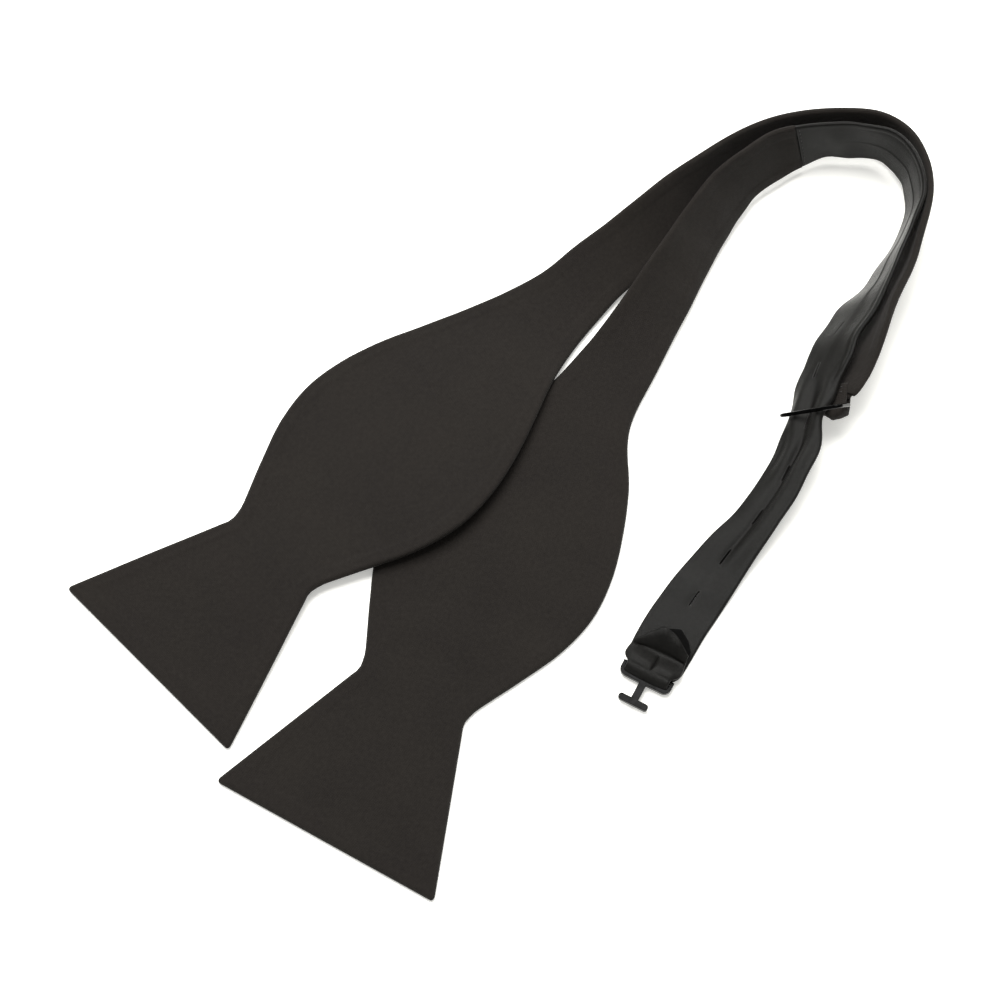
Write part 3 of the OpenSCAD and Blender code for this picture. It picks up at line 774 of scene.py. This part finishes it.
def cloth_loop():
    outer, inner = loop_profile()
    xs = np.linspace(-LOOP_HALF, LOOP_HALF, 36)
    squeeze = round_over(LOOP_HALF - np.abs(xs), 0.6)
    bend = np.clip((xs - 4.6) / (LOOP_HALF - 4.6), 0, 1)
    rings = []
    for x, q, turn in zip(xs, squeeze, bend):
        pleat = 0.10 * math.sin(x * 1.9 + 0.6) + 0.07 * math.sin(x * 3.7)
        mid_out = (outer + np.concatenate([inner[::-1]])[: len(outer)]) / 2
        o2 = mid_out + (outer - mid_out) * (0.35 + 0.65 * q)
        i2 = mid_out + (inner[::-1] - mid_out) * (0.35 + 0.65 * q)
        swell = outer / (np.linalg.norm(outer, axis=1, keepdims=True) + 1e-9)
        o2 = o2 + swell * pleat * np.clip(1 - outer[:, :1] / 9, 0.2, 1)
        # the loose roll hangs past the bar where the strap doesn't press on it
        loose = step(x, 0.0, 4.5) * q**0.5
        hang = np.clip(0.25 - o2[:, 0] / (LOOP_BORE + LOOP_T), 0, 1) ** 0.6
        o2[:, 0] -= 2.3 * loose * hang
        o2[:, 1] *= 1 + 0.3 * loose * hang * step(x, 3.5, 6)
        o2[:, 0] += (o2[:, 0] < 0) * -o2[:, 0] * 0.62 * (1 - math.sqrt(1 - turn**2))
        ring = np.concatenate([o2, i2[::-1]])
        x = x + 1.5 * step(x, 4, LOOP_HALF)
        rings.append(BAR + x * LOOP_X + ring[:, :1] * LOOP_Y + ring[:, 1:] * LOOP_Z)
    p = np.array(rings)
    n = p.shape[1]
    faces = grid_faces(len(xs), n, closed=True)
    half = n // 2
    for row, flip in ((0, False), (len(xs) - 1, True)):
        for j in range(half - 1):
            f = (row * n + j, row * n + n - 1 - j, row * n + n - 2 - j, row * n + j + 1)
            faces.append(f[::-1] if flip else f)
    uvs = np.stack([np.repeat(xs, n), np.tile(np.arange(n) * 0.6, len(xs))], -1)
    obj = add_mesh("eye_loop_cloth", p.reshape(-1, 3), faces, CLOTH, uvs)
    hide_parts("a_eye_loop")
    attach(obj, "half_a")
    return obj


cloth_loop()
TACK_STEP, TACK_ROW, TACK_HALF = 1.75, 1.6, 0.6
tack = []
for row in (0, 1):
    for k in range(-4, 5):
        p = BAR + (k * TACK_STEP) * LOOP_X + (LOOP_LEG - 1.4 - row * TACK_ROW) * LOOP_Y
        p = p + (LOOP_BORE + LOOP_T - 0.12) * LOOP_Z
        tack.append((p - TACK_HALF * LOOP_X, p + TACK_HALF * LOOP_X, LOOP_Z))
stitches("loop_bartack_thread", tack, 0.17, ["a_loop_bartack"], "half_a")

# ---------------------------------------------------------------- strap's folded end
END = [v[0] for v in ribbon(PATH_B, np.array([STRAP_END]))]
FOLD_Y = unit(END[3] * np.array([1, 1, 0]))
FOLD_X = np.array([FOLD_Y[1], -FOLD_Y[0], 0.0])
FOLD_Z = np.array([0, 0, 1.0])
FOLD_AT = np.array([END[0][0], END[0][1], 1.9])
FOLD_BORE, FOLD_T = 0.85, 0.8
# height over the bar's middle at which the upper layer lies on the strap
FOLD_OVER = 2.38 - FOLD_AT[2]
# how far the tent reaches back, from one side of the strap to the other
TENT_SIDE, TENT_REACH = [-1, -0.75, -0.35, 0.2, 0.55, 1], [0.30, 0.50, 0.86, 1.0, 0.62, 0.03]


def fold_rows():
    """The folded end in its own frame, from under the bar, over it and back to the raw edge.
    Each row is a list of points [x, y, z] from one side of the strap to the other."""
    outer, over = FOLD_BORE + FOLD_T, FOLD_OVER
    u = np.linspace(-1, 1, 49)
    rows = []
    for d in np.linspace(-88, 90, 18):
        rise = math.radians(d)
        push = 1 + 0.45 * max(math.cos(rise), 0) ** 2 * (1 - 0.8 * np.abs(u) ** 3)
        y = outer * math.cos(rise) * push
        rows.append(np.stack([6.8 * u, y, np.full(u.shape, outer * math.sin(rise))], -1))
    for y, z, half in ((-0.5, outer, 6.85), (-0.95, outer - 0.03, 7.5),
                       (-1.6, outer - 0.12, 8.2), (-2.4, outer - 0.35, 8.7),
                       (-3.4, over + 0.6, 8.8), (-4.4, over + 0.35, 8.75),
                       (-5.4, over + 0.12, 8.6), (-6.2, over, 8.4)):
        flat = np.clip(np.abs(u) * half - 6.2, 0, 9) / 2.5
        bulge = 0.75 * bell(y, -2.2, 2.2) * (np.abs(np.sin(np.pi * (u * 0.93 + 0.07))) ** 0.6)
        split = -1.0 * bell(u, -0.06, 0.035) * step(-y, 0.2, 1.2) * (1 - step(-y, 4.4, 5.4))
        drop = -(z - over) * np.clip(flat, 0, 1) * 0.75
        rows.append(np.stack([half * u, np.full(u.shape, y), z + bulge + split + drop], -1))
    # past the stitching the cloth stands up as a tent, highest left of the middle
    reach = np.interp(u, TENT_SIDE, TENT_REACH)
    reach = np.convolve(np.pad(reach, 3, mode="edge"), np.ones(7) / 7, "valid")
    for k in np.linspace(0.06, 1, 14):
        y = -6.4 - 0.8 * (1 - u) * 0.5 - 6.6 * reach * k
        z = over + 4.4 * reach * (1 - (1 - k) ** 1.7) - 0.35 * bell(k, 0, 0.12)
        z = z + 0.16 * np.sin(u * 9 + 0.7) * k
        rows.append(np.stack([(8.4 - 0.2 * k) * u + 0.2 * k, y, z], -1))
    return rows


def end_fold():
    rows = fold_rows()
    f = np.array(rows)
    along = np.gradient(f, axis=0)
    aside = np.gradient(f, axis=1)
    out = unit(np.cross(aside, along))
    side = 8.4 * (1 - np.abs(np.linspace(-1, 1, f.shape[1])))
    wall = np.interp(np.arange(len(f)), [0, 18, 25, 39], [0.8, 0.8, 0.55, 0.42])[:, None]
    edge = round_over(side, 0.5)[None, :]
    front = f - out * (wall * 0.35 * (1 - edge))[..., None]
    back = f - out * (wall * (0.4 + 0.6 * edge))[..., None]
    return front, back


def fold_pocket():
    """The turned-under layer in the mouth of the tent: it lies on the strap past the ridge."""
    u = np.linspace(-1, 1, 33)
    reach = np.interp(u, TENT_SIDE, TENT_REACH)
    far = np.interp(u, [-1, -0.75, -0.3, 0.1, 0.45, 1], [1.0, 2.6, 2.9, 1.2, 0.2, 0.1])
    rows = []
    for k in np.linspace(0, 1, 7):
        y = -7.4 - 0.8 * (1 - u) * 0.5 - 5.9 * reach - far * k + (1 - k) * 2.2
        z = FOLD_OVER + 0.12 + 0.75 * k**2 * np.clip(far / 2.5, 0, 1)
        rows.append(np.stack([8.0 * u, y, z], -1))
    top = np.array(rows)
    return top, top - np.array([0, 0, 0.3])


def shell(front, back):
    """Points and faces of a closed sheet between two grids."""
    rows, cols = front.shape[:2]
    points = np.concatenate([front.reshape(-1, 3), back.reshape(-1, 3)])
    total = rows * cols
    faces = grid_faces(rows, cols, flip=True)
    faces += [tuple(v + total for v in q) for q in grid_faces(rows, cols)]
    border = [(0, j) for j in range(cols)] + [(i, cols - 1) for i in range(1, rows)]
    border += [(rows - 1, j) for j in range(cols - 2, -1, -1)] + [(i, 0) for i in range(rows - 2, 0, -1)]
    for k in range(len(border)):
        i, j = border[k]
        i2, j2 = border[(k + 1) % len(border)]
        v, w = i * cols + j, i2 * cols + j2
        faces.append((w, w + total, v + total, v))
    return points, faces


def strap_fold_piece():
    points, faces = shell(*end_fold())
    pocket, pocket_faces = shell(*fold_pocket())
    count = len(faces)
    faces += [tuple(v + len(points) for v in q) for q in pocket_faces]
    local = np.concatenate([points, pocket])
    world = FOLD_AT + local[:, :1] * FOLD_X + local[:, 1:2] * FOLD_Y + local[:, 2:] * FOLD_Z
    world[:, 2] = np.maximum(world[:, 2], 0.03)
    obj = add_mesh("strap_fold_cloth", world, faces, SATIN, local[:, :2])
    # the pocket's faces take the darker reverse cloth, painted shade for the tent's mouth
    obj.data.materials.append(REVERSE_PAINTED_SHADE)
    inner = np.zeros(len(faces), np.int32)
    inner[count:] = 1
    obj.data.polygons.foreach_set("material_index", inner)
    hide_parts("strap_end_fold")
    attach(obj, "half_b")
    return obj


FOLD_PIECE = strap_fold_piece()
rows = []
for k in range(-4, 5):
    p = FOLD_AT + 1.5 * k * FOLD_X - (6.75 - 0.06 * k) * FOLD_Y + 0.42 * FOLD_Z
    rows.append((p - 0.5 * FOLD_X, p + 0.5 * FOLD_X, FOLD_Z))
stitches("end_fold_thread", rows, 0.16, ["end_fold_stitches"], "half_b")

# ---------------------------------------------------------------- hardware
for node in ("eye_ring", "t_hook"):
    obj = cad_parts[node]
    if obj.data.materials:
        obj.data.materials[0] = METAL
    else:
        obj.data.materials.append(METAL)

# ---------------------------------------------------------------- half widths of the cloth strips, computed and not used
def declare_strip(widths, first, last, inset):
    """Stations and half widths of a strip of cloth along its path; nothing is returned or kept."""
    s = np.linspace(first, last, 600)
    half = half_width(widths, s) - inset


for pieces, widths, last, under in ((A_PIECES, WIDTH_A, BAND_END, ["blade_b_front", "table"]),
                                    (B_PIECES, WIDTH_B, SEAM, ["table"])):
    declare_strip(widths, 0, last, 0)
    declare_strip(widths, 3, last - 3, 2.6)
    declare_strip(widths, 0, last, 0)
declare_strip(WIDTH_B, SEAM, STRAP_END, 0)
declare_strip(WIDTH_B, SEAM + 3, 483, 2.6)
declare_strip(WIDTH_B, SEAM, STRAP_END, 0)

# ---------------------------------------------------------------- table, light
bpy.ops.mesh.primitive_plane_add(size=6, location=(0, 0, -0.00005))
table = bpy.context.active_object
table.name = "table"
m, nodes, links, bsdf = shader("paper")
place = nodes.new("ShaderNodeTexCoord")
n = noise(nodes, links, place.outputs["Object"], 6.0, 2.0)
colour = ramp(nodes, [(0.2, (0.93, 0.93, 0.90)), (0.8, (0.96, 0.96, 0.93))])
links.new(n.outputs["Fac"], colour.inputs["Fac"])
links.new(colour.outputs["Color"], bsdf.inputs["Base Color"])
bsdf.inputs["Roughness"].default_value = 0.9
bsdf.inputs["Specular IOR Level"].default_value = 0.1
bsdf.inputs["Emission Color"].default_value = (1.0, 1.0, 0.97, 1)
bsdf.inputs["Emission Strength"].default_value = 0.3
table.data.materials.append(m)

world = bpy.data.worlds.new("studio")
world.use_nodes = True
world.node_tree.nodes["Background"].inputs["Color"].default_value = (1.0, 0.995, 0.975, 1)
world.node_tree.nodes["Background"].inputs["Strength"].default_value = 0.55
bpy.context.scene.world = world


def area_light(name, place, power, size, colour=(1, 1, 1)):
    data = bpy.data.lights.new(name, "AREA")
    data.energy = power
    data.size = size
    data.color = colour
    obj = bpy.data.objects.new(name, data)
    bpy.context.scene.collection.objects.link(obj)
    obj.location = place
    obj.rotation_euler = (-Vector(place)).to_track_quat("-Z", "Y").to_euler()


area_light("key", (-0.2, 0.45, 1.25), 30.0, 1.0, (1.0, 0.99, 0.97))
area_light("rim", (0.55, 0.9, 0.6), 4.0, 0.5, (1.0, 0.99, 0.97))
bpy.context.scene.view_settings.view_transform = "Standard"
